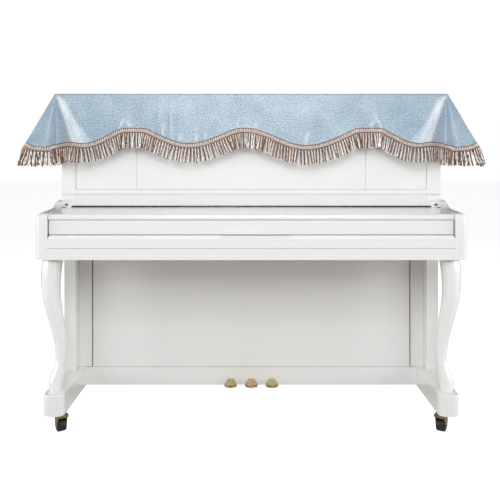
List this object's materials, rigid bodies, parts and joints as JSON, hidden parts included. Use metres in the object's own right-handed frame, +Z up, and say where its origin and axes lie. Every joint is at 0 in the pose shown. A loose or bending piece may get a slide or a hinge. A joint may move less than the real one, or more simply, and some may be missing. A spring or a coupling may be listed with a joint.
{
  "type": "piano top cover on an upright piano",
  "caption": "Satin cloth cover with scalloped hem and two-colour tassel fringe, draped over the top of a plain white upright piano.",
  "frame": {"origin": "on the floor, at the middle of the whole object's footprint", "axes": "+X along the keyboard to the player's right, +Y from the player's side to the back, +Z up"},
  "size_m": [1.7604, 0.7332, 1.2196],
  "materials": {
    "lacquer": "smooth white gloss lacquer on wood",
    "spruce": "plain spruce, clear coat",
    "beech": "plain beech, clear coat",
    "brass": "dull aged brass",
    "steel": "dark nickel plating on steel",
    "rubber": "black, semi-matt",
    "cloth": "pale blue-grey satin with a fine woven figure",
    "yarn": "twisted yarns, alternately brown and ivory"
  },
  "bodies": {
    "root": {"side_left": "lacquer", "side_right": "lacquer", "upper_panel_left": "lacquer", "upper_panel_centre": "lacquer", "upper_panel_right": "lacquer", "knee_stile_left": "lacquer", "knee_stile_right": "lacquer", "lid": "lacquer", "panel_ledge": "lacquer", "knee_panel": "lacquer", "plinth": "lacquer", "fall_back": "lacquer", "fall_lid": "lacquer", "fall_front": "lacquer", "key_slip": "lacquer", "key_bed": "lacquer", "arm_left": "lacquer", "arm_right": "lacquer", "cheek_left": "lacquer", "cheek_right": "lacquer", "leg_left": "lacquer", "leg_right": "lacquer", "foot_left": "lacquer", "foot_right": "lacquer", "works_upper": "spruce", "works_lower": "spruce", "back_rail_low": "beech", "back_rail_top": "beech", "back_post_1": "beech", "back_post_2": "beech", "back_post_3": "beech", "back_post_4": "beech", "back_post_5": "beech", "fall_hinge": "steel", "pedal_left": "brass", "pedal_middle": "brass", "pedal_right": "brass", "caster_fork_front_left": "brass", "caster_fork_front_right": "brass", "caster_fork_back_left": "brass", "caster_fork_back_right": "brass", "caster_wheel_front_left": "rubber", "caster_wheel_front_right": "rubber", "caster_wheel_back_left": "rubber", "caster_wheel_back_right": "rubber", "cover": "cloth", "fringe_front": "yarn", "fringe_front_right": "yarn", "fringe_right": "yarn", "fringe_back_right": "yarn", "fringe_back": "yarn", "fringe_back_left": "yarn", "fringe_left": "yarn", "fringe_front_left": "yarn"}
  },
  "joints": []
}
